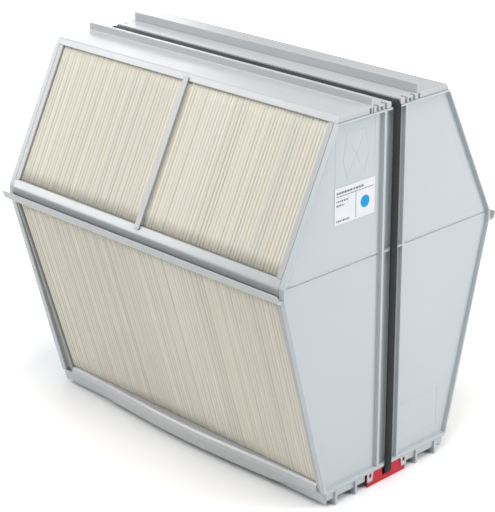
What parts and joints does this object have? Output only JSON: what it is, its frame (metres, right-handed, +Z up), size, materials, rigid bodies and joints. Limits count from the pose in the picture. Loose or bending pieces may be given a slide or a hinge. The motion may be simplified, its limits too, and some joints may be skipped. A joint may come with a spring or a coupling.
{
  "type": "heat recovery unit counterflow heat exchanger",
  "caption": "Six-sided heat exchanger cartridge: thin membrane plates stacked in a moulded frame, a gutter on each side, ribbed feet and a pull strap held by red clips.",
  "frame": {"origin": "on the floor under the middle of the cartridge, where it stands on its rib feet", "axes": "+X to the right seen from the labelled end plate, +Y along the cartridge from the labelled end plate to the other, +Z up"},
  "size_m": [0.389, 0.5032, 0.4976],
  "materials": {
    "panel_plastic": "satin light grey",
    "frame_plastic": "satin mid grey",
    "membrane": "matte ivory membrane",
    "potting_resin": "cured resin",
    "clip_red": "satin red",
    "strap_webbing": "woven black webbing",
    "label_paper": "coated label"
  },
  "bodies": {
    "cartridge": {"front_end_plate": "panel_plastic", "rear_end_plate": "panel_plastic", "upper_left_front_bar": "frame_plastic", "upper_left_rear_bar": "frame_plastic", "upper_right_front_bar": "frame_plastic", "upper_right_rear_bar": "frame_plastic", "lower_left_front_bar": "frame_plastic", "lower_left_rear_bar": "frame_plastic", "lower_right_front_bar": "frame_plastic", "lower_right_rear_bar": "frame_plastic", "left_mullion": "frame_plastic", "right_mullion": "frame_plastic", "top_cover_left": "frame_plastic", "top_cover_right": "frame_plastic", "top_centre_rail": "frame_plastic", "left_ridge_rail": "frame_plastic", "right_ridge_rail": "frame_plastic", "left_bottom_rail": "frame_plastic", "right_bottom_rail": "frame_plastic", "bottom_tray": "frame_plastic", "membrane_plate_stack": "membrane", "front_resin_bed": "potting_resin", "rear_resin_bed": "potting_resin", "top_potting": "potting_resin", "bottom_potting": "potting_resin", "left_ridge_potting": "potting_resin", "right_ridge_potting": "potting_resin", "pull_strap": "strap_webbing", "front_label": "label_paper"},
    "front_clip": {"front_strap_clip": "clip_red"},
    "rear_clip": {"rear_strap_clip": "clip_red"}
  },
  "joints": [
    {"name": "front_clip_slide", "type": "slide", "parent": "cartridge", "child": "front_clip", "axis": [0, 0, -1], "range_m": [0, 0.013]},
    {"name": "rear_clip_slide", "type": "slide", "parent": "cartridge", "child": "rear_clip", "axis": [0, 0, -1], "range_m": [0, 0.013]}
  ]
}
